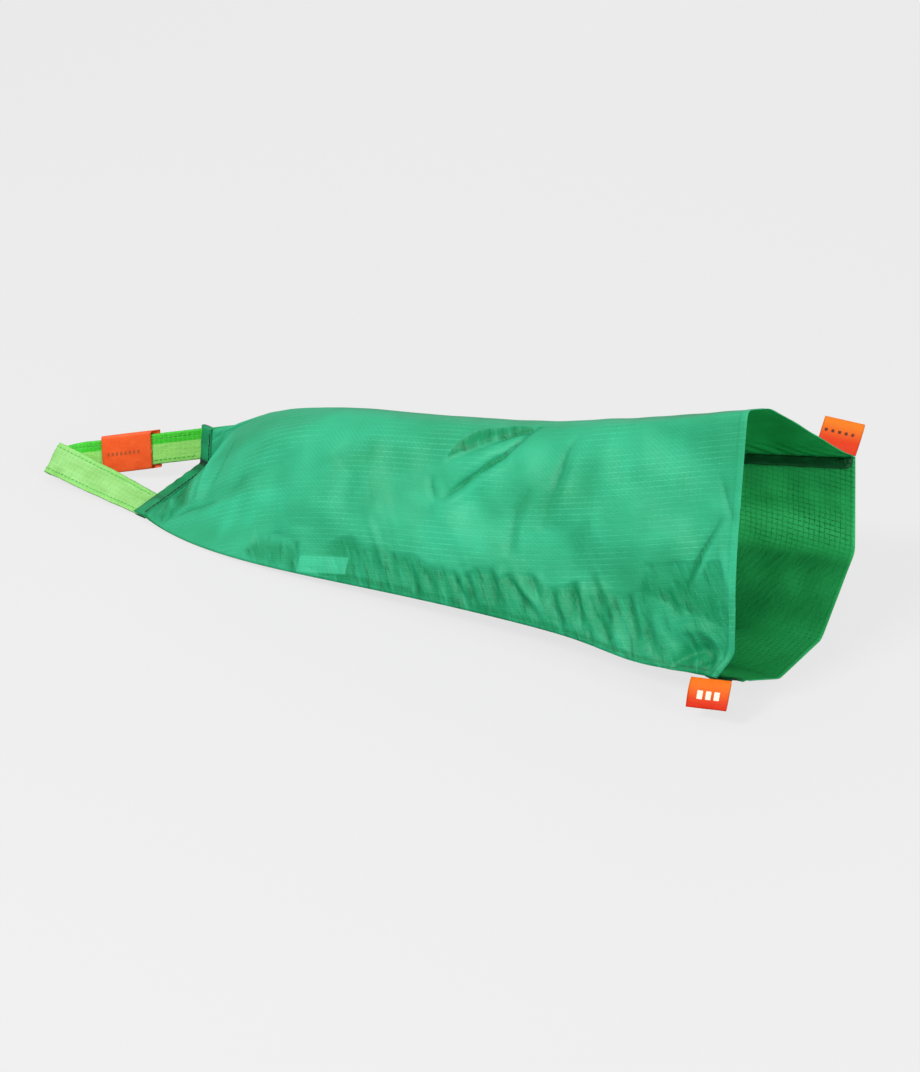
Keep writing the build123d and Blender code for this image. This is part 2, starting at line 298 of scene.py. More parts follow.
# short slanting puckers along the lower seam, and fewer along the upper one
slant = x + 0.75 * from_lower + 2.5 * waves(x, y, 60, 8)
pucker = np.sin(2 * math.pi * slant / 15.5) * 0.8 + np.sin(2 * math.pi * slant / 8.6 + 1.3) * 0.45
lengths = 16 + 9 * waves(x, 0 * y, 45, 12)
held = ease(t, 0.30, 0.5) * np.clip(0.55 + 0.45 * waves(x, 0 * y, 38, 15), 0, 1.3)
height += 1.0 * pucker * held * ease(from_lower, 0, 7) * np.exp(-(from_lower / lengths.clip(8, 40)) ** 2)
fine = np.sin(2 * math.pi * (x + 0.5 * from_lower) / 6.3 + 3.0 * waves(x, y, 26, 18))
fine_reach = np.exp(-(from_lower / (1.15 * lengths.clip(8, 40))) ** 4)
height += 0.22 * fine * held * ease(from_lower, 0, 5) * fine_reach
from_upper = (1 - s) * front.width[:, None]
upper_pucker = np.sin(2 * math.pi * (x + 0.5 * from_upper) / 13)
height += 0.6 * upper_pucker * ease(from_upper, 0, 6) * np.exp(-from_upper / 14) * ease(t, 0.1, 0.3)
# the pocket at the lower corner of the mouth, and the rim's narrow fold
height += fold(x, y, [P(0.905, 0.0), P(0.935, 0.035), P(0.96, 0.05), P(0.985, 0.02)], -3.6, 4.0)
height += fold(x, y, [P(0.915, 0.075), P(0.95, 0.085), P(0.985, 0.06)], 1.8, 3.0)
height += fold(x, y, [P(0.955, 0.0), P(0.975, 0.02), P(0.99, 0.03)], 1.4, 2.5)
rim = SLEEVE_LENGTH - x
height += 0.3 * np.exp(-((rim - 3.0) / 0.7) ** 2)
front.push(height * front_sign)
let_hang(front, t, from_lower)
seams = {"lower": front.grid[:, 0].copy(), "upper": front.grid[:, -1].copy()}
# the lower corner of the mouth is pulled back a little
pull = (1 - np.clip(from_lower / CORNER_REACH, 0, 1)) ** 1.3 * ease(t, 0.93, 1.0)
front.grid[..., 0] -= CORNER_PULL * pull


def region(corners, soft):
    """1 inside a convex patch of the front panel and 0 outside, fading over soft millimetres."""
    points = np.array([P(*q) for q in corners], float)
    middle, depth = points.mean(0), np.full(x.shape, 1e9)
    for a, b in zip(points, np.roll(points, -1, 0)):
        n = np.array([b[1] - a[1], a[0] - b[0]]) / np.linalg.norm(b - a)
        if n @ (middle - a) < 0:
            n = -n
        depth = np.minimum(depth, (x - a[0]) * n[0] + (y - a[1]) * n[1])
    return ease(depth, -soft, soft)


# painted shade and painted highlight: where the cloth is painted darker or lighter for the shade and light on
# its folds and pockets, and on the crumpled band by the lower seam
BAND = [  # how far the painted shade of the crumpled band by the lower seam reaches: share along, share of the width
    (0.18, 0), (0.25, 0.03), (0.31, 0.09), (0.37, 0.10), (0.44, 0.105), (0.50, 0.10), (0.555, 0.088),
    (0.625, 0.12), (0.705, 0.125), (0.745, 0.12), (0.815, 0.13), (0.87, 0.17), (0.93, 0.17), (1, 0.13),
]
band = np.interp(t, *zip(*BAND)) * front.width[:, None]
band += 2.2 * waves(x, 0 * y, 24, 33)
in_band = 1 - ease(from_lower - band, -4.5, 4.5)
# painted shade over the crumpled band by the lower seam
tone -= (0.62 - 0.15 * ease(t, 0.75, 0.85)) * in_band * ease(t, 0.27, 0.37)
# listed patches of painted shade (negative amounts) and painted highlight (positive amounts)
for corners, amount, soft in (
    ([(0.508, 0.405), (0.515, 0.455), (0.535, 0.505), (0.59, 0.53), (0.648, 0.535), (0.605, 0.50),
      (0.56, 0.45)], -0.85, 1.5),
    ([(0.30, 0.30), (0.36, 0.45), (0.48, 0.42), (0.48, 0.30), (0.38, 0.20), (0.31, 0.20)], -0.22, 10),
    ([(0.0, 0.02), (0.0, 0.34), (0.04, 0.26), (0.067, 0.10), (0.05, 0.02)], -0.65, 2.0),
    ([(0.0, 0.46), (0.0, 0.60), (0.03, 0.60), (0.03, 0.46)], -0.4, 4.0),
    ([(0.0, 0.36), (0.0, 0.47), (0.022, 0.44), (0.022, 0.38)], -0.9, 1.5),
    ([(0.205, 0.01), (0.225, 0.045), (0.30, 0.06), (0.31, 0.0), (0.24, 0.0)], -0.6, 3.0),
    ([(0.70, 0.20), (0.755, 0.275), (0.80, 0.335), (0.86, 0.30), (0.86, 0.15), (0.70, 0.14)], -0.22, 4.0),
    ([(0.86, 0.205), (0.94, 0.22), (0.985, 0.228), (0.985, 0.10), (0.86, 0.14)], -0.4, 1.8),
    ([(0.90, 0.0), (0.925, 0.045), (0.955, 0.06), (0.985, 0.02), (0.985, 0.0)], -0.5, 3.0),
    ([(0.09, 0.10), (0.15, 0.18), (0.20, 0.285), (0.255, 0.22), (0.27, 0.12), (0.16, 0.03)], 0.35, 4.0),
    ([(0.46, 0.13), (0.48, 0.24), (0.56, 0.30), (0.64, 0.33), (0.68, 0.22), (0.66, 0.15)], 0.22, 6.0),
    ([(0.73, 0.32), (0.73, 0.47), (0.90, 0.49), (0.90, 0.36)], 0.22, 9.0),
):
    tone += amount * region(corners, soft)
# a little random variation of tone
tone += (0.09 * waves(x, y, 46, 35, heading=0.5, spread=0.8)
         + 0.06 * waves(x, y, 17, 36, heading=0.2, spread=0.6))
# a painted highlight along the rim's fold, with painted shade just inside it
tone += 0.45 * np.exp(-((rim - 2.6) / 0.8) ** 2) - 0.25 * np.exp(-((rim - 4.4) / 1.0) ** 2)
# painted shade in a line along the lower seam
tone -= 0.55 * np.exp(-((from_lower - 2.4) / 0.8) ** 2) * ease(t, 0.3, 0.36)

# ---- Back panel: flat on the floor, softly crinkled where it stands ----
bx, by = back.x, back.y
bt, bs = back.t[:, None] + 0 * bx, back.s[None, :] + 0 * bx
standing = 1 - ease(bs, 0.42, 0.52)
b_waves = 1.2 * waves(bx, by, 80, 23, heading=1.3, spread=0.7) + 0.35 * waves(bx, by, 26, 27)
b_height = ease(back.edge, 0, 20) * standing * b_waves * (1 - 0.6 * ease(bt, 0.93, 1))
for path, depth, width in (
    ([(0.72, 0.16), (0.86, 0.11), (0.985, 0.12)], -1.6, 4.5),
    ([(0.80, 0.22), (0.9, 0.17), (0.99, 0.2)], 1.1, 6.0),
):
    b_height += fold(bx, by, [back.place(*q) for q in path], depth, width)
# painted highlight in a band along the back panel towards the mouth, over a little random variation of tone
b_tone = 0.12 * waves(bx, by, 50, 37) + 0.85 * np.exp(-((bs - 0.195) / 0.045) ** 2) * ease(bt, 0.6, 0.9)
# painted shade past that band and towards the narrow end
b_tone -= 0.55 * ease(bs, 0.235, 0.30) + 0.3 * (1 - ease(bt, 0.55, 0.95))
# a little painted light near the mouth
b_tone += 0.3 * ease(bs, 0.35, 0.5) * ease(bt, 0.88, 1)
b_lower = (1 - bs) * back.width[:, None]
b_rim = SLEEVE_LENGTH - bx
b_corner = np.exp(-(b_lower / 13) ** 2 - (b_rim / 18) ** 2)
# painted shade in the crumpled lower corner at the mouth
b_tone -= 2.2 * b_corner
b_height += b_corner * 1.6 * waves(bx, by, 9, 39)
b_pucker = np.sin(2 * math.pi * (bx + 0.6 * b_lower) / 13.0)
b_height += (0.7 * b_pucker * ease(b_lower, 0, 7) * np.exp(-b_lower / 16)
             * ease(bt, 0.3, 0.5) * (1 - ease(bt, 0.95, 1)))
back.push(b_height * back_sign)
let_hang(back, bt, b_lower)
# both its edges are drawn up to the front panel's, which closes the seams
for end, column, away in (("upper", 0, bs * back.width[:, None]), ("lower", -1, b_lower)):
    for axis in (1, 2):
        gap = np.interp(back.t, front.t, seams[end][:, axis]) - back.grid[:, column, axis]
        back.grid[..., axis] += gap[:, None] * np.exp(-(away / 9.0) ** 2)
back.grid[..., 2] = np.maximum(back.grid[..., 2], 0.2)


# ---- Making meshes ----
def smooth(obj):
    for p in obj.data.polygons:
        p.use_smooth = True
    return obj


def new_object(name, points, faces, materials, indices=None, uvs=None, tone=None):
    """A mesh from points in millimetres. uvs are one (u, v) for each point, in millimetres too."""
    mesh = bpy.data.meshes.new(name)
    mesh.from_pydata([tuple(p * MM) for p in np.asarray(points, float)], [], [tuple(f) for f in faces])
    for m in materials:
        mesh.materials.append(m)
    if indices is not None:
        mesh.polygons.foreach_set("material_index", np.asarray(indices, dtype=np.int32))
    if uvs is not None:
        layer = mesh.uv_layers.new(name="cloth")
        loops = np.zeros(len(mesh.loops), dtype=np.int32)
        mesh.loops.foreach_get("vertex_index", loops)
        layer.data.foreach_set("uv", np.asarray(uvs, float)[loops].ravel())
    if tone is not None:
        values = np.asarray(tone, np.float32)
        mesh.attributes.new("tone", "FLOAT", "POINT").data.foreach_set("value", values)
    mesh.update()
    obj = bpy.data.objects.new(name, mesh)
    bpy.context.scene.collection.objects.link(obj)
    return smooth(obj)


def grid_faces(rows, columns, start=0, flip=False):
    i, j = np.meshgrid(np.arange(rows - 1), np.arange(columns - 1), indexing="ij")
    a = (start + i * columns + j).ravel()
    quads = np.stack([a, a + 1, a + columns + 1, a + columns], -1)
    return quads[:, ::-1] if flip else quads


def border(rows, columns):
    """The indices round a grid's edge, in order."""
    return np.r_[np.arange(columns), np.arange(1, rows) * columns + columns - 1,
                 (rows - 1) * columns + np.arange(columns - 2, -1, -1),
                 np.arange(rows - 2, 0, -1) * columns]


def shell(name, outer, inner, materials, uvs, tone=None):
    """A closed thin shell from two grids of points."""
    rows, columns = outer.shape[:2]
    count = rows * columns
    ring = border(rows, columns)
    after = np.roll(ring, -1)
    rim_faces = np.stack([ring, ring + count, after + count, after], -1)
    faces = np.vstack([grid_faces(rows, columns), grid_faces(rows, columns, count, True), rim_faces])
    side = len(grid_faces(rows, columns))
    indices = np.r_[np.zeros(side), np.ones(side), np.zeros(len(rim_faces))]
    points = np.vstack([outer.reshape(-1, 3), inner.reshape(-1, 3)])
    return new_object(name, points, faces, materials, indices, np.vstack([uvs.reshape(-1, 2)] * 2), tone)


# ---- Materials ----
def linear(r, g, b):
    """A colour of 0 to 255 in linear light."""
    def one(c):
        c /= 255
        return c / 12.92 if c <= 0.04045 else ((c + 0.055) / 1.055) ** 2.4
    return (one(r), one(g), one(b), 1.0)


class Nodes:
    """One material and short ways to add nodes to it."""

    def __init__(self, name):
        self.material = bpy.data.materials.new(name)
        self.material.use_nodes = True
        self.tree = self.material.node_tree
        self.shader = self.tree.nodes["Principled BSDF"]
        self.output = self.tree.nodes["Material Output"]

    def node(self, kind, **settings):
        n = self.tree.nodes.new(kind)
        for key, value in settings.items():
            setattr(n, key, value)
        return n

    def link(self, a, b):
        self.tree.links.new(a, b)

    def set(self, socket, value):
        """Links an output to a socket, or writes a constant into it."""
        if isinstance(value, (int, float, tuple)):
            socket.default_value = value
        else:
            self.link(value, socket)

    def math(self, operation, *values):
        n = self.node("ShaderNodeMath", operation=operation)
        for socket, value in zip(n.inputs, values):
            self.set(socket, value)
        return n.outputs[0]

    def times(self, first, *others):
        for other in others:
            first = self.math("MULTIPLY", first, other)
        return first

    def plus(self, first, *others):
        for other in others:
            first = self.math("ADD", first, other)
        return first

    def ramp(self, value, low, high, to_low=0.0, to_high=1.0):
        n = self.node("ShaderNodeMapRange", interpolation_type="SMOOTHSTEP")
        for key, v in (("Value", value), ("From Min", low), ("From Max", high),
                       ("To Min", to_low), ("To Max", to_high)):
            self.set(n.inputs[key], v)
        return n.outputs["Result"]

    def noise(self, vector, stretch=None, detail=2.0, rough=0.5):
        """Noise from 0 to 1. stretch is how many features it has in a millimetre each way."""
        n = self.node("ShaderNodeTexNoise")
        n.inputs["Scale"].default_value = 1.0
        n.inputs["Detail"].default_value = detail
        n.inputs["Roughness"].default_value = rough
        self.link(self.stretch(vector, stretch) if stretch else vector, n.inputs["Vector"])
        return n.outputs["Fac"]

    def mix(self, share, a, b):
        n = self.node("ShaderNodeMix", data_type="RGBA")
        for socket, value in ((n.inputs[0], share), (n.inputs[6], a), (n.inputs[7], b)):
            self.set(socket, value)
        return n.outputs[2]

    def stretch(self, vector, scale):
        n = self.node("ShaderNodeVectorMath", operation="MULTIPLY")
        self.link(vector, n.inputs[0])
        n.inputs[1].default_value = (*scale, 1)[:3]
        return n.outputs[0]

    def cloth(self):
        """The cloth's own coordinates in millimetres, as a vector and as its two parts."""
        uv = self.node("ShaderNodeUVMap", uv_map="cloth").outputs["UV"]
        parts = self.node("ShaderNodeSeparateXYZ")
        self.link(uv, parts.inputs[0])
        return uv, parts.outputs[0], parts.outputs[1]

    def tone(self):
        return self.node("ShaderNodeAttribute", attribute_name="tone").outputs["Fac"]

    def lines(self, along, pitch, width):
        """1 on lines every pitch and 0 between them."""
        turn = self.math("FRACT", self.math("DIVIDE", along, pitch))
        off = self.math("ABSOLUTE", self.math("SUBTRACT", turn, 0.5))
        half = width / pitch / 2
        return self.ramp(off, 0.5 - 1.6 * half, 0.5 - 0.4 * half)

    def rectangle(self, u, v, u0, u1, v0, v1, soft):
        """1 inside a rectangle and 0 outside."""
        sides = []
        for along, low, high in ((u, u0, u1), (v, v0, v1)):
            sides.append(self.ramp(along, low - soft, low + soft))
            sides.append(self.ramp(along, high - soft, high + soft, 1.0, 0.0))
        return self.times(*sides)

    def colour_by(self, colour):
        self.link(colour, self.shader.inputs["Base Color"])

    def bump(self, height, strength):
        """Relief, whose height is in millimetres."""
        n = self.node("ShaderNodeBump")
        n.inputs["Strength"].default_value = strength
        n.inputs["Distance"].default_value = MM
        self.link(height, n.inputs["Height"])
        self.link(n.outputs["Normal"], self.shader.inputs["Normal"])

    def finish(self, rough=0.5, sheen=0.0, specular=0.5):
        self.shader.inputs["Roughness"].default_value = rough
        self.shader.inputs["Sheen Weight"].default_value = sheen
        self.shader.inputs["Specular IOR Level"].default_value = specular
        return self.material

    def let_through(self, colour, share):
        """Some of the light from behind comes through the cloth."""
        glow = self.node("ShaderNodeBsdfTranslucent")
        self.link(colour, glow.inputs["Color"])
        both = self.node("ShaderNodeMixShader")
        both.inputs[0].default_value = share
        self.link(self.shader.outputs[0], both.inputs[1])
        self.link(glow.outputs[0], both.inputs[2])
        self.link(both.outputs[0], self.output.inputs["Surface"])


# painted shade colours: near-black for the sharpest creases, dark green for the wrinkles
CREASE_SHADE, WRINKLE_SHADE = linear(6, 62, 34), linear(6, 92, 54)


def ripstop(name, colours, line_share, rough, inside=False):
    """Thin ripstop: a grid of thicker threads on a plain weave, with soft patches of tone, and painted shade
    and painted highlight from the tone attribute.
    """
    base, light, dark, line, shade_colour, highlight_colour = (linear(*c) for c in colours)
    n = Nodes(name)
    uv, u, v = n.cloth()
    n.u, n.v = u, v
    pitch_u, pitch_v = (3.2, 2.9) if inside else (3.3, 3.15)
    across = n.lines(v, pitch_v, 0.55)
    along = n.lines(u, pitch_u, 0.5)
    grid = n.math("MAXIMUM", across, along if inside else n.times(along, 0.22))
    patches = n.noise(uv, (0.012, 0.03), 3.0)
    broad = n.mix(0.5, base, n.mix(n.ramp(patches, 0.33, 0.67), dark, light))
    tone = n.tone()
    # painted shade where the tone is below 0, painted highlight where it is above 0, and near-black painted
    # shade in the sharpest creases
    broad = n.mix(n.ramp(tone, 0.0, -1.0), broad, shade_colour)
    broad = n.mix(n.ramp(tone, 0.0, 1.0), broad, highlight_colour)
    broad = n.mix(n.ramp(tone, -1.0, -1.9), broad, CREASE_SHADE)
    # the grid shows in places, its threads are broken up, and it fades under the painted shade
    shown = n.ramp(n.noise(uv, (0.018, 0.026)), 0.42, 0.62, 0.45 if inside else 0.04, 1.0)
    broken = n.ramp(n.noise(uv, (0.55, 0.9)), 0.38, 0.58, 0.25, 1.0)
    share = n.times(grid, shown, n.times(broken, line_share), n.ramp(tone, -0.6, -0.1, 0.12, 1.0))
    # where the cloth is crumpled, its wrinkles slant down towards the mouth, in the relief and, on the
    # outside, as painted shade and painted highlight
    slant = n.node("ShaderNodeCombineXYZ")
    n.link(n.times(n.plus(n.times(v, 0.5), u), 0.24), slant.inputs[0])
    n.link(n.times(v, 0.055), slant.inputs[1])
    wrinkled = n.noise(slant.outputs[0], None, 3.0, 0.6)
    crumpled = n.ramp(tone, -0.2, -0.6)
    if not inside:
        # painted shade and painted highlight along the wrinkles
        wrinkle_shade_mask = n.times(n.ramp(wrinkled, 0.46, 0.34), crumpled)
        wrinkle_highlight_mask = n.times(n.ramp(wrinkled, 0.54, 0.66), crumpled)
        broad = n.mix(n.times(wrinkle_shade_mask, 0.45), broad, WRINKLE_SHADE)
        broad = n.mix(n.times(wrinkle_highlight_mask, 0.35), broad, light)
        # a faint slanting hatch, here and there
        hatch_at = n.ramp(n.noise(uv, (0.010, 0.014), 1.0), 0.46, 0.62)
        slanted = n.lines(n.plus(n.times(u, 0.75), v), 2.3, 1.0)
        dotted = n.ramp(n.noise(uv, (1.1, 1.1), 1.0), 0.4, 0.6, 0.3, 1.0)
        broad = n.mix(n.times(slanted, dotted, n.times(hatch_at, 0.2)), broad, shade_colour)
    weave = n.noise(uv, (1.6, 3.4))
    hatch = n.noise(uv, (0.9, 0.16), 3.0)
    crumple = n.noise(uv, (0.06, 0.085), 4.0, 0.55)
    relief = n.plus(n.times(crumple, 1.7), n.times(weave, 0.22), n.times(hatch, 0.20), n.times(grid, 0.10))
    n.bump(n.plus(relief, n.times(wrinkled, n.times(crumpled, 1.5))), 0.5)
    n.finish(rough, 0.0, 0.12 if inside else 0.18)
    return n, n.mix(share, broad, line)


# base, light, dark, grid lines, and the painted shade and painted highlight colours, where the tone is -1 and
# where it is 1
OUTSIDE = ((50, 172, 125), (58, 186, 142), (42, 153, 105), (96, 220, 176), (20, 138, 88), (58, 204, 158))
INSIDE = ((52, 200, 110), (60, 212, 122), (42, 182, 96), (8, 84, 42), (18, 130, 62), (70, 220, 130))
# the front panel's inner face looks plainer than the back panel's, and is painted paler: painted light on a
# face that lies in shade
FRONT_INSIDE_LIT = ((50, 216, 120), (58, 226, 132), (42, 204, 108), (20, 140, 72), (30, 150, 76), (80, 232, 148))

outer_cloth, outer_colour = ripstop("sleeve_outside", OUTSIDE, 0.33, 0.42)
# the care label shows through as a paler patch, just above the lower seam
CARE_FROM, CARE_TO = 0.309, 0.388
label_low = -np.interp(0.345, front.t, front.run[:, front.run.shape[1] // 2])
patch = outer_cloth.rectangle(outer_cloth.u, outer_cloth.v, CARE_FROM * SLEEVE_LENGTH,
                              CARE_TO * SLEEVE_LENGTH, label_low + 4.5, label_low + 14.5, 0.5)
outer_colour = outer_cloth.mix(outer_cloth.times(patch, 0.6), outer_colour, linear(70, 200, 154))
inner_cloth, inner_colour = ripstop("sleeve_inside", INSIDE, 0.8, 0.6, inside=True)
front_inside, front_inside_colour = ripstop("sleeve_front_inside_lit", FRONT_INSIDE_LIT, 0.15, 0.6, inside=True)
back_outside, back_outside_colour = ripstop("sleeve_back_outside", OUTSIDE, 0.33, 0.42)
for n, colour, share in ((outer_cloth, outer_colour, 0.25), (inner_cloth, inner_colour, 0.3),
                         (front_inside, front_inside_colour, 0.35),
                         (back_outside, back_outside_colour, 0.25)):
    n.colour_by(colour)
    n.let_through(colour, share)


def plain_cloth(name, base, light, dark, rough=0.55, weave=(2.2, 2.2), relief=0.25, sheen=0.1, uv=True,
                crumple=1.0, shade_colour=None):
    """Woven cloth or thread of one colour, with its weave and a little variation, and painted shade from the
    tone attribute where a shade colour is given.
    """
    base, light, dark = linear(*base), linear(*light), linear(*dark)
    n = Nodes(name)
    if uv:
        where, n.u, n.v = n.cloth()
    else:
        where = n.stretch(n.node("ShaderNodeNewGeometry").outputs["Position"], (1000, 1000, 1000))
    tone = n.mix(n.ramp(n.noise(where, (0.08, 0.12, 0.1), 3.0), 0.3, 0.7), dark, light)
    fine = n.noise(where, (weave[0], weave[1], weave[0]))
    colour = n.mix(n.times(n.ramp(fine, 0.5, 0.75), 0.18), n.mix(0.5, base, tone), light)
    # painted shade where the tone attribute is below 0
    if shade_colour:
        colour = n.mix(n.ramp(n.tone(), 0.0, -1.0), colour, linear(*shade_colour))
    n.colour = colour
    n.colour_by(colour)
    broad = n.noise(where, (0.11, 0.16, 0.13), 3.0)
    n.bump(n.plus(n.times(fine, relief), n.times(broad, crumple)), 0.6)
    n.finish(rough, sheen, 0.3)
    return n


def thread(name, base, light, dark):
    return plain_cloth(name, base, light, dark, 0.6, uv=False, crumple=0.2)


hem_cloth = plain_cloth("hem_cloth", (12, 126, 78), (22, 146, 96), (6, 96, 58), sheen=0.0, shade_colour=(2, 44, 26))
hem_thread = thread("hem_thread", (8, 62, 38), (14, 78, 50), (5, 44, 26))
# the seam edges and the roll are painted far darker than the green cloth they are cut from: painted shade
# inside the sleeve
seam_cloth = plain_cloth("seam_cloth", (10, 74, 38), (16, 94, 50), (6, 50, 26), sheen=0.0)
seam_thread = thread("seam_thread", (18, 92, 56), (28, 112, 70), (12, 70, 42))
care_cloth = plain_cloth("care_label_cloth", (220, 232, 224), (236, 242, 238), (200, 214, 206))
tag_thread = thread("tag_thread", (196, 70, 34), (210, 84, 44), (170, 56, 26))
strap_thread = thread("strap_thread", (66, 170, 52), (84, 188, 66), (50, 148, 40))
tag_cloth = plain_cloth("tag_cloth", (226, 84, 30), (232, 94, 36), (216, 72, 24), 0.5, (1.2, 3.0), 0.3,
                        sheen=0.0)

# a row of plain marks across the front of the tag
TAG_MARKS, MARK_FIRST, MARK_PITCH, MARK_WIDTH = 8, 9.0, 3.3, 1.9
tag_colour = tag_cloth.colour
for k in range(TAG_MARKS):
    mark_from = MARK_FIRST + MARK_PITCH * k
    mark = tag_cloth.rectangle(tag_cloth.u, tag_cloth.v, mark_from, mark_from + MARK_WIDTH, 12.0, 14.4, 0.25)
    tag_colour = tag_cloth.mix(tag_cloth.times(mark, 0.75), tag_colour, linear(138, 74, 36))
tag_cloth.colour_by(tag_colour)


# ---- The two panels ----
def layers(panel, sign):
    outward = panel.normals() * sign
    return panel.grid, panel.grid - outward * CLOTH


GRAIN_TURN, GRAIN_REACH = 0.24, 190.0  # near the hem the grain swings towards the upper seam


def cloth_uv(panel):
    """The cloth's grain runs along the fold over the top, which is about halfway round."""
    half_way = panel.run[:, panel.run.shape[1] // 2]
    turned = GRAIN_TURN / (2 * GRAIN_REACH) * np.clip(GRAIN_REACH - panel.x, 0, None) ** 2
    return np.stack([panel.x, panel.run - half_way[:, None] + turned], -1)


# the outer face carries all the painted shade and highlight of the tone, the inner face 0.4 of it
front_cloth = shell("front_cloth", *layers(front, front_sign), [outer_cloth.material, front_inside.material],
                    cloth_uv(front), np.r_[tone.ravel(), 0.4 * tone.ravel()])
back_cloth = shell("back_cloth", *layers(back, back_sign), [back_outside.material, inner_cloth.material],
                   cloth_uv(back), np.tile(b_tone.ravel(), 2))
for piece, node in ((front_cloth, "front_panel"), (back_cloth, "back_panel")):
    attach(piece, "sleeve")
    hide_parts(node)


# ---- Ribbons, bands and stitches ----
def ribbon(name, rows, normals, thickness, material, uvs):
    """A flat band: rows of points across it, thickened by thickness along the normals."""
    half = np.asarray(normals, float) * thickness / 2
    return shell(name, rows + half, rows - half, [material] * 2, uvs)


def grid_uv(along, across):
    return np.stack(np.broadcast_arrays(along[:, None], across[None, :]), -1)


def tube(points, radius, sides=6):
    """Points and faces of a closed tube along a line of points."""
    points = np.asarray(points, float)
    along = unit(np.gradient(points, axis=0))
    side = unit(np.cross(along, [0.12, 0.2, 1.0]))
    other = np.cross(along, side)
    turn = np.linspace(0, 2 * math.pi, sides, endpoint=False)
    around = side[:, None] * np.cos(turn)[None, :, None] + other[:, None] * np.sin(turn)[None, :, None]
    verts = (points[:, None] + around * radius).reshape(-1, 3)
    faces = []
    for i in range(len(points) - 1):
        for k in range(sides):
            a, b = i * sides + k, i * sides + (k + 1) % sides
            faces.append((a, b, b + sides, a + sides))
    faces.append(tuple(range(sides))[::-1])
    faces.append(tuple((len(points) - 1) * sides + k for k in range(sides)))
    return verts, faces


STITCH_ARC = np.array([-0.25, 0.12, 0.22, 0.12, -0.25])  # each stitch dips into the cloth at its ends


def stitch_row(name, line, material, stitch, gap, radius, out):
    """A row of stitches along a line, with out the way away from the cloth at each of its points."""
    run = length_along(line)
    verts, faces, at = [], [], 0.4
    while at + stitch < run[-1]:
        where = np.linspace(at, at + stitch, len(STITCH_ARC))
        v, f = tube(sample(where, run, line) + sample(where, run, out) * STITCH_ARC[:, None], radius)
        first = sum(len(q) for q in verts)
        faces += [tuple(i + first for i in face) for face in f]
        verts.append(v)
        at += stitch + gap
    return new_object(name, np.vstack(verts), faces, [material])


# ---- The hem: a folded band along the narrow end, bent into two arms ----
HEM_POINTS, HEM_LAYERS, HEM_STITCH_DEPTH = 90, 2.2, 0.62
HEM_PROFILE = [  # off the panels' edge towards them, and depth inward through the layers
    (3.0, -0.20), (2.4, -0.50), (0.5, -0.45), (-3.5, -0.65), (-6.0, -0.45), (-6.6, 0.35), (-6.7, 1.1),
    (-6.6, 1.85), (-6.0, 2.65), (-3.5, 2.85), (0.5, 2.65), (2.4, 2.70), (3.0, 2.40), (3.1, 1.1),
]
hem_corners = FRONT[[0, 2, 4], 0]
hem_shares = length_along(hem_corners)
line = sample(np.linspace(0, 1, HEM_POINTS), hem_shares / hem_shares[-1], hem_corners)
line = soften(line, 1.3)
way = unit(np.gradient(line, axis=0))
inward = np.stack([way[:, 1], -way[:, 0]], -1)
origin, across, up, facing = section_frame([0.0])
hem_length = length_along(line)
ring, ring_uv = [], []
for k, (x_off, depth) in enumerate(HEM_PROFILE):
    wobble = 0.22 * waves(hem_length, 0 * hem_length, 9, 40 + k, spread=0.2)
    flat = line + inward * (depth + wobble * 0.5)[:, None]
    ring.append(origin + flat[:, :1] * across + flat[:, 1:] * up + facing * (x_off + wobble * 0.5)[:, None])
    ring_uv.append(np.stack([hem_length, np.full(HEM_POINTS, 3.0 * k)], -1))
count, length = len(HEM_PROFILE), HEM_POINTS
faces = []
for k in range(count):
    nxt = (k + 1) % count
    for i in range(length - 1):
        faces.append((k * length + i, k * length + i + 1, nxt * length + i + 1, nxt * length + i))
faces.append(tuple(k * length for k in range(count)))
faces.append(tuple(k * length + length - 1 for k in range(count))[::-1])
# painted shade, darkest in the bend between the two arms, over a little random variation of tone
from_bend = hem_length - hem_length[np.argmin(np.linalg.norm(line - FRONT[2, 0], axis=1))]
hem_shade_and_tone = -1.3 * np.exp(-((from_bend - 0.6) / 1.6) ** 2)
hem_shade_and_tone += 0.35 * waves(hem_length, 0 * hem_length, 14, 55, spread=0.2)
hem_shade_and_tone -= 0.4 * np.exp(-(from_bend / 7.0) ** 2)
hem_band = new_object("hem_band", np.array(ring).reshape(-1, 3), faces, [hem_cloth.material], None,
                      np.array(ring_uv).reshape(-1, 2), np.tile(hem_shade_and_tone, count))
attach(hem_band, "sleeve")
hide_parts("end_hem")
for name, depth, outward in (("hem_stitches_front", -HEM_STITCH_DEPTH, -1),
                             ("hem_stitches_back", HEM_LAYERS + HEM_STITCH_DEPTH, 1)):
    flat = line + inward * depth
    path = origin + flat[:, :1] * across + flat[:, 1:] * up + facing * 1.5
    out = (inward[:, :1] * across + inward[:, 1:] * up) * outward
    row = stitch_row(name, path[2:-2], hem_thread.material, 2.6, 0.4, 0.34, out[2:-2])
    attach(row, "sleeve")
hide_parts("end_hem_stitching")

# ---- The side seams' turned-in edges ----
SEAM_ROWS, SEAM_START, SEAM_DEPTH, SEAM_THICK = 150, 1.2, 7.6, 1.1
# the columns at the seam and a little way off it, on the front panel and then on the back one
SEAM_COLUMNS = {"upper": (-1, -14, 0, 12), "lower": (0, 14, -1, -12)}


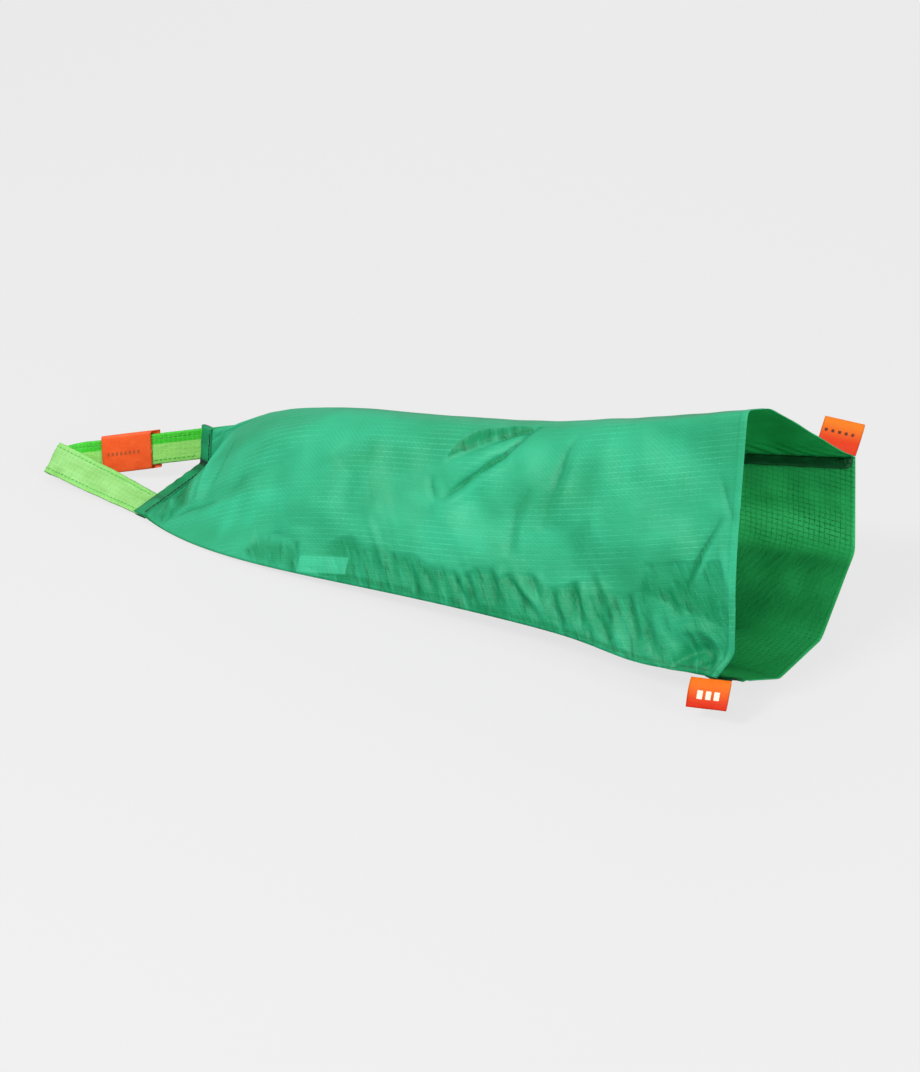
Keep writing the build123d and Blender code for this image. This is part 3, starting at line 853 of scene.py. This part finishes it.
def seam_rows(end):
    """Rows of points across a seam's edge, inside the sleeve, with their normals and coordinates."""
    at_seam, off_seam, back_seam, back_off = SEAM_COLUMNS[end]
    when = np.linspace(FULL_AT - 0.06, 0.998, SEAM_ROWS)
    corner = sample(when, front.t, front.grid[:, at_seam])
    a = unit(sample(when, front.t, front.grid[:, off_seam] - front.grid[:, at_seam]))
    b = unit(sample(when, back.t, back.grid[:, back_off] - back.grid[:, back_seam]))
    inward_way = unit(a + b)
    normal = unit(np.cross(unit(np.gradient(corner, axis=0)), inward_way))
    reach = np.linspace(SEAM_START, SEAM_START + SEAM_DEPTH, 7)
    ripple = 0.5 * waves(when * SLEEVE_LENGTH, 0 * when, 22, 51, spread=0.2)
    points = corner[:, None] + inward_way[:, None] * reach[None, :, None]
    rippled = ripple[:, None] * ((reach - SEAM_START) / SEAM_DEPTH)[None, :]
    points = points + normal[:, None] * rippled[..., None]
    return points, np.broadcast_to(normal[:, None], points.shape), grid_uv(when * SLEEVE_LENGTH, reach)


for end in ("upper", "lower"):
    rows, normal, uv = seam_rows(end)
    edge = ribbon(f"{end}_seam_edge", rows, normal, SEAM_THICK, seam_cloth.material, uv)
    stitches = stitch_row(f"{end}_seam_stitches", rows[:, 3] + normal[:, 3] * 0.62, seam_thread.material,
                          2.3, 0.7, 0.25, normal[:, 3])
    for piece, node, slot in ((edge, f"{end}_side_seam", "seam_cloth"),
                              (stitches, f"{end}_seam_stitching", "seam_thread")):
        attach(piece, "sleeve")
        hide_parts(node)

# the upper seam's turned-in end is rolled up at the mouth
ROLL_ROWS, ROLL_POINTS = 5, 14
rows = seam_rows("upper")[0]
steps = np.arange(ROLL_POINTS)
path = sample(np.linspace(SEAM_ROWS - ROLL_ROWS, SEAM_ROWS - 1, ROLL_POINTS), np.arange(SEAM_ROWS),
              rows[:, 2])
roll_radius = 0.9 + 1.4 * ease(steps, 0, 9) + 0.2 * np.sin(steps * 1.9)
points, faces = tube(path, roll_radius[:, None, None], 16)
roll = new_object("upper_seam_roll", points, faces, [seam_cloth.material], None, points[:, [0, 2]])
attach(roll, "sleeve")

# the care label inside, its lower edge caught in the lower seam
CARE_HEIGHT, CARE_INSIDE = 11.0, 1.6
when = np.linspace(CARE_FROM, CARE_TO, 14)
low = sample(when, front.t, front.grid[:, 4])
high = sample(when, front.t, front.grid[:, 16])
inside = -sample(when, front.t, (front.normals() * front_sign)[:, 10])
rise = np.linspace(0, 1, 8) * CARE_HEIGHT
rows = low[:, None] + unit(high - low)[:, None] * rise[None, :, None] + inside[:, None] * CARE_INSIDE
care = ribbon("care_label_tape", rows, np.broadcast_to(inside[:, None], rows.shape), 0.3, care_cloth.material,
              grid_uv(when * SLEEVE_LENGTH, rise))
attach(care, "sleeve")
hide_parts("care_label")

# ---- The pull loop: a strap from the hem to the tip and back, whose far leg is twisted upright ----
STRAP_WIDTH, STRAP_THICK, TIP_RADIUS, TWIST_LENGTH, FAR_GAP = 20.5, 0.9, 2.6, 24.0, 4.5
TIP = np.array([-246.8, -39.4, 13.0])
IN_HEM = 2.5  # how far each end runs into the hem


def hem_edge_point(first, second, distance):
    """A point on the hem's outer edge, distance from one of its corners towards another."""
    start, end = hem_corners[first], hem_corners[second]
    flat = start + unit(end - start) * distance + np.array([0, -HEM_LAYERS / 2])
    return (origin + flat[0] * across + flat[1] * up - facing * HEM_WIDTH)[0]


def square_to(path, direction):
    return unit(direction - path * (direction @ path))


near_root = hem_edge_point(0, 1, STRAP_WIDTH / 2)
far_root = hem_edge_point(2, 1, STRAP_WIDTH / 2 + 1)
near_path = unit(TIP - near_root)
near_width = square_to(near_path, near_root - hem_edge_point(0, 1, 0))
tip_crease = square_to(near_path, np.array([0, 0.68, 0.73]))
toward_far = np.cross(near_path, tip_crease)
far_tip = TIP + toward_far * (2 * TIP_RADIUS)
far_path = unit(far_root - far_tip)
upright = np.array([0.0, 0.0, 1.0])
far_end = far_root - far_path * FAR_GAP

stations = []  # centre, width way, path way
near_leg = np.linalg.norm(TIP - near_root)
for reach in np.linspace(-IN_HEM, near_leg, 44):
    turned = unit(near_width * (1 - max(reach, 0) / near_leg) + tip_crease * max(reach, 0) / near_leg)
    stations.append((near_root + near_path * reach, turned, near_path))
for angle in np.radians(np.arange(15, 180, 15)):
    c, d = math.cos(angle), math.sin(angle)
    centre = TIP + toward_far * TIP_RADIUS
    stations.append((centre + (near_path * d - toward_far * c) * TIP_RADIUS, tip_crease,
                     near_path * c + toward_far * d))
far_leg = np.linalg.norm(far_root - far_tip)
for reach in np.linspace(0.5, far_leg + IN_HEM, 46):
    twisted = min(reach / TWIST_LENGTH, 1)
    turned = unit(tip_crease * (1 - twisted) + upright * twisted)
    stations.append((far_tip + far_path * reach, turned, far_path))
centres, widths, paths = (np.array(p) for p in zip(*stations))
faces_out = unit(np.cross(paths, widths))
run = length_along(centres)
half = np.linspace(-STRAP_WIDTH / 2, STRAP_WIDTH / 2, 23)
strap_rows = centres[:, None] + widths[:, None] * half[None, :, None]
U, V = np.broadcast_arrays(run[:, None], half[None, :])
ends = np.minimum(ease(run, 0, 8), ease(run[-1] - run, 0, 8))[:, None]
# the far leg is nearly flat, so that the tag slides along it without touching it
on_far = ease(run, near_leg + 16, near_leg + 30)[:, None]
crinkle = 0.30 * waves(U, V, 13, 61) + 0.35 * waves(U, V, 26, 62, heading=0.5, spread=0.7)
crinkle = crinkle * (1 - 0.8 * on_far)
strap_rows = strap_rows + faces_out[:, None] * (crinkle * ends)[..., None]
strap_rows[..., 2] = np.maximum(strap_rows[..., 2], 0.8)

lime = Nodes("strap_cloth")
uv, u, v = lime.cloth()
cells = lime.math("MAXIMUM", lime.lines(u, 3.1, 0.5), lime.lines(v, 3.1, 0.5))
patches = lime.ramp(lime.noise(uv, (0.05, 0.12), 3.0), 0.3, 0.7)
near_colour = lime.mix(patches, linear(116, 174, 90), linear(130, 188, 108))
# the one strap is painted lighter on its far leg as painted light, and darker green along that leg's upper
# third as painted shade
on_far_leg = lime.ramp(u, near_leg + 6, near_leg + 12)
upper_third_shade = lime.times(on_far_leg, lime.ramp(v, 2.6, 4.0))
edges = lime.ramp(lime.math("ABSOLUTE", v), 7.6, 8.6, 0.0, 0.3)
colour = lime.mix(edges, lime.mix(on_far_leg, near_colour, linear(134, 202, 96)), linear(108, 192, 78))
colour = lime.mix(upper_third_shade, colour, linear(52, 180, 34))
lime.colour_by(lime.mix(lime.times(cells, 0.08), colour, linear(206, 250, 190)))
crumple = lime.noise(uv, (0.14, 0.2), 4.0, 0.6)
weave = lime.noise(uv, (2.4, 2.4))
lime.bump(lime.plus(lime.times(crumple, 1.6), lime.times(weave, 0.25)), 0.6)
lime.finish(0.5, 0.0, 0.25)

loop_strap = ribbon("loop_strap", strap_rows, np.broadcast_to(faces_out[:, None], strap_rows.shape),
                    STRAP_THICK, lime.material, np.stack([U, V], -1))
strap_pieces = [(loop_strap, "pull_strap", "strap_cloth")]
for name, column in (("upper", 19), ("lower", 3)):
    for side, way, node in ((1, "out", f"strap_{name}_stitching"), (-1, "in", None)):
        line = strap_rows[3:-3, column] + faces_out[3:-3] * 0.5 * side
        row = stitch_row(f"strap_stitches_{name}_{way}", line, strap_thread.material, 2.0, 1.0, 0.27,
                         faces_out[3:-3] * side)
        strap_pieces.append((row, node, "strap_thread"))
# the way of the loop's hinge along the hem, and the way square to it between the legs
hinge_end = far_end + upright * (STRAP_WIDTH / 2 - 5.5) + far_path * FAR_GAP
hinge = unit(hinge_end - near_root)
away = unit(near_path - far_path)
away = unit(away - hinge * (away @ hinge))
for piece, node, slot in strap_pieces:
    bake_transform(piece)
    if node:
        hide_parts(node)

# ---- The tag: a band folded round the far leg ----
TAG_LENGTH, TAG_HEIGHT, TAG_FROM_START, TAG_THICK = 38.0, 25.4, 22.0, 0.35
TAG_ALLOWANCE = 5.5  # how far its back layer runs on past the front one
TAG_ROUND = 56  # points round it
tag_start = far_end - far_path * TAG_FROM_START
tag_face = unit(np.cross(far_path, upright))
half_height, half_gap = TAG_HEIGHT / 2, 1.5
outline = []
for angle in np.linspace(0, 2 * math.pi, TAG_ROUND, endpoint=False):
    c, d = math.cos(angle), math.sin(angle)
    outline.append((math.copysign(abs(c) ** 0.16, c) * half_height,
                    math.copysign(abs(d) ** 0.45, d) * half_gap))
outline = np.array(outline)
tag_long = np.linspace(0, TAG_LENGTH, 26)
tag_rows = []
for reach in tag_long:
    bulge = 0.25 * math.sin(math.pi * reach / TAG_LENGTH)
    section = outline * np.array([1.0, 1.0 + bulge])
    begins = TAG_ALLOWANCE * (1 - reach / TAG_LENGTH) * ease(outline[:, 1:], 0.0, 0.9)
    tag_rows.append(tag_start - far_path * (reach + begins) + upright * section[:, :1]
                    + tag_face * section[:, 1:])
tag_rows = np.array(tag_rows)
inner_rows = tag_rows - (tag_face * np.sign(outline[:, 1:])[None] * TAG_THICK
                         + upright * np.sign(outline[:, :1])[None] * TAG_THICK * 0.6)
rows_n, count = len(tag_long), len(tag_long) * TAG_ROUND
faces = []
for i in range(rows_n):
    for k in range(TAG_ROUND):
        a, b = i * TAG_ROUND + k, i * TAG_ROUND + (k + 1) % TAG_ROUND
        if i < rows_n - 1:
            c, d = a + TAG_ROUND, b + TAG_ROUND
            faces += [(a, c, d, b), (a + count, b + count, d + count, c + count)]
for i in (0, rows_n - 1):
    for k in range(TAG_ROUND):
        a, b = i * TAG_ROUND + k, i * TAG_ROUND + (k + 1) % TAG_ROUND
        faces.append((a, b, b + count, a + count) if i == 0 else (a, a + count, b + count, b))
tag_uv = grid_uv(tag_long, length_along(outline))
tag_band = new_object("tag_band", np.vstack([tag_rows.reshape(-1, 3), inner_rows.reshape(-1, 3)]), faces,
                      [tag_cloth.material], None, np.vstack([tag_uv.reshape(-1, 2)] * 2))
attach(tag_band, "strap_tag")
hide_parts("strap_tag")
across_tag = np.linspace(-half_height + 1, half_height - 1, 24)[:, None]
tag_stitch_line = tag_start - far_path * 3.0 + upright * across_tag - tag_face * 1.05
tag_stitches = stitch_row("tag_stitches", tag_stitch_line, tag_thread.material, 1.8, 0.7, 0.2,
                          np.tile(tag_face, (24, 1)))
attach(tag_stitches, "strap_tag")
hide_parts("strap_tag_stitching")


# ---- The two folded labels ----
def label_material(name, root, tip, mark, marks):
    n = Nodes(name)
    uv, u, v = n.cloth()
    body = n.mix(n.ramp(v, 1.0, 14.0), linear(*root), linear(*tip))
    fine = n.noise(uv, (1.4, 3.2))
    body = n.mix(n.times(n.ramp(fine, 0.45, 0.7), 0.12), body, linear(220, 110, 30))
    for u0, u1, v0, v1 in marks:
        body = n.mix(n.rectangle(u, v, u0, u1, v0, v1, 0.12), body, linear(*mark))
    n.colour_by(body)
    n.bump(n.plus(n.times(fine, 0.3), n.noise(uv, (0.12, 0.2))), 0.5)
    return n.finish(0.55, 0.0, 0.15)


LABEL_LENGTH, LABEL_HEIGHT, LABEL_TILT, LABEL_HALF_LAYER = 24.0, 15.0, 8.0, 0.12


def label_plane(corner, standoff, angle):
    """The rim's corner moved out by standoff, the way along its seam, the way out and the normal."""
    def seam_point(t):
        o, a, w, _ = section_frame([t])
        flat = corners_at(FRONT, [t])[0, corner]
        return (o + flat[0] * a + flat[1] * w)[0]
    rim_point = seam_point(1.0)
    seam = unit(seam_point(0.62) - rim_point)
    _, a, w, _ = section_frame([1.0])
    turned = (a * math.cos(math.radians(angle)) + w * math.sin(math.radians(angle)))[0]
    way = square_to(seam, turned)
    return rim_point + way * standoff, seam, way, np.cross(seam, way)


dark_marks = [(4.2 + 4.0 * k, 6.0 + 4.0 * k, 6.4, 8.2) for k in range(5)]
pale_marks = [(5.0, 8.2, 5.6, 10.2), (10.0, 13.2, 5.6, 10.2), (15.0, 18.2, 5.6, 10.2)]
upper_cloth = label_material("upper_label_cloth", (192, 42, 3), (206, 104, 6), (86, 36, 14), dark_marks)
lower_cloth = label_material("lower_label_cloth", (208, 96, 5), (190, 32, 3), (226, 208, 190), pale_marks)
for end, corner, standoff, angle, from_rim, root, more_tilt, material in (
    ("upper", 4, 4.4, 52.0, -0.8, 4.0, 2.5, upper_cloth),  # root is how far it reaches into its seam
    ("lower", 0, 0.8, -128.0, -1.0, 1.5, 0.0, lower_cloth),
):
    start, seam, way, normal = label_plane(corner, standoff, angle)
    tilt = math.radians(LABEL_TILT + more_tilt)
    A, B = np.meshgrid(np.linspace(0, LABEL_LENGTH, 22), np.linspace(-root, LABEL_HEIGHT, 20), indexing="ij")
    a_way = seam * math.cos(tilt) + way * math.sin(tilt)
    b_way = way * math.cos(tilt) - seam * math.sin(tilt)
    bow = 0.5 * np.sin(math.pi * B.clip(0) / LABEL_HEIGHT) * np.sin(2.4 * A / LABEL_LENGTH + 0.3)
    bow = bow + 0.25 * waves(A, B, 16, 71 + corner)
    grid = start + seam * from_rim + A[..., None] * a_way + B[..., None] * b_way + bow[..., None] * normal
    gap = 0.5 * (1 - (B / LABEL_HEIGHT) ** 6) * ease(B, -root, 1)  # the layers meet at both long edges
    off = normal * (gap + LABEL_HALF_LAYER)[..., None]
    tab = shell(f"{end}_tab", grid + off, grid - off, [material, material], np.stack([A, B], -1))
    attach(tab, f"{end}_label")
    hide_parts(f"{end}_label")


# ---- Stage, light and camera ----
FLOOR_GREY, FLOOR_GLOW, FLOOR_SIZE, FLOOR_Z = 0.08, 0.73, 60, -0.0004
floor_material = Nodes("floor")
for key, value in (("Base Color", (FLOOR_GREY, FLOOR_GREY, FLOOR_GREY, 1)), ("Roughness", 0.9),
                   ("Specular IOR Level", 0.0), ("Emission Color", (1, 1, 1, 1)),
                   ("Emission Strength", FLOOR_GLOW)):
    floor_material.shader.inputs[key].default_value = value
bpy.ops.mesh.primitive_plane_add(size=FLOOR_SIZE, location=(0, 0, FLOOR_Z))
floor = bpy.context.object
floor.name = "floor"
floor.data.materials.append(floor_material.material)
floor.visible_diffuse = floor.visible_glossy = floor.visible_transmission = False

world = bpy.data.worlds.new("studio")
world.use_nodes = True
sky = world.node_tree
height_way = sky.nodes.new("ShaderNodeSeparateXYZ")
sky.links.new(sky.nodes.new("ShaderNodeTexCoord").outputs["Generated"], height_way.inputs[0])
fade = sky.nodes.new("ShaderNodeMapRange")
for key, value in (("From Min", -0.35), ("From Max", 0.25), ("To Min", 0.22), ("To Max", 0.62)):
    fade.inputs[key].default_value = value
sky.links.new(height_way.outputs[2], fade.inputs["Value"])
sky.links.new(fade.outputs["Result"], sky.nodes["Background"].inputs[0])
# what shows past the floor's far edge is as pale as the floor, and doesn't light the object
paler = sky.nodes.new("ShaderNodeBackground")
paler.inputs[0].default_value = (0.82, 0.82, 0.82, 1)
either = sky.nodes.new("ShaderNodeMixShader")
sky.links.new(sky.nodes.new("ShaderNodeLightPath").outputs["Is Camera Ray"], either.inputs[0])
sky.links.new(sky.nodes["Background"].outputs[0], either.inputs[1])
sky.links.new(paler.outputs[0], either.inputs[2])
sky.links.new(either.outputs[0], sky.nodes["World Output"].inputs[0])
bpy.context.scene.world = world
bpy.context.scene.view_settings.view_transform = "Standard"

for name, location, target, size, watts in (
    ("key", (-0.35, -1.45, 1.4), (0, 0, 0.05), 0.5, 38),
    ("fill", (1.8, -0.5, 0.65), (0.2, 0, 0.06), 0.6, 20),
    ("behind", (-0.6, 1.7, 1.1), (0, 0, 0.05), 0.8, 9),
):
    light = bpy.data.lights.new(name, "AREA")
    light.shape, light.size, light.size_y, light.energy = "RECTANGLE", size, size, watts
    softbox = bpy.data.objects.new(name, light)
    softbox.location = location
    softbox.rotation_euler = (Vector(target) - Vector(location)).to_track_quat("-Z", "Y").to_euler()
    bpy.context.scene.collection.objects.link(softbox)

AZIMUTH, ELEVATION, DISTANCE = math.radians(32), math.radians(27), 1654.3 * MM
TARGET = Vector((73.3, -74.8, 60.0)) * MM
toward = Vector((math.sin(AZIMUTH) * math.cos(ELEVATION), -math.cos(AZIMUTH) * math.cos(ELEVATION),
                 math.sin(ELEVATION)))
camera_data = bpy.data.cameras.new("camera")
camera_data.lens, camera_data.sensor_width = 100, 36
camera = bpy.data.objects.new("camera", camera_data)
camera.location = TARGET + toward * DISTANCE
camera.rotation_euler = toward.to_track_quat("Z", "Y").to_euler()
camera_data.clip_start, camera_data.clip_end = 0.05, 100
bpy.context.scene.collection.objects.link(camera)
bpy.context.scene.camera = camera
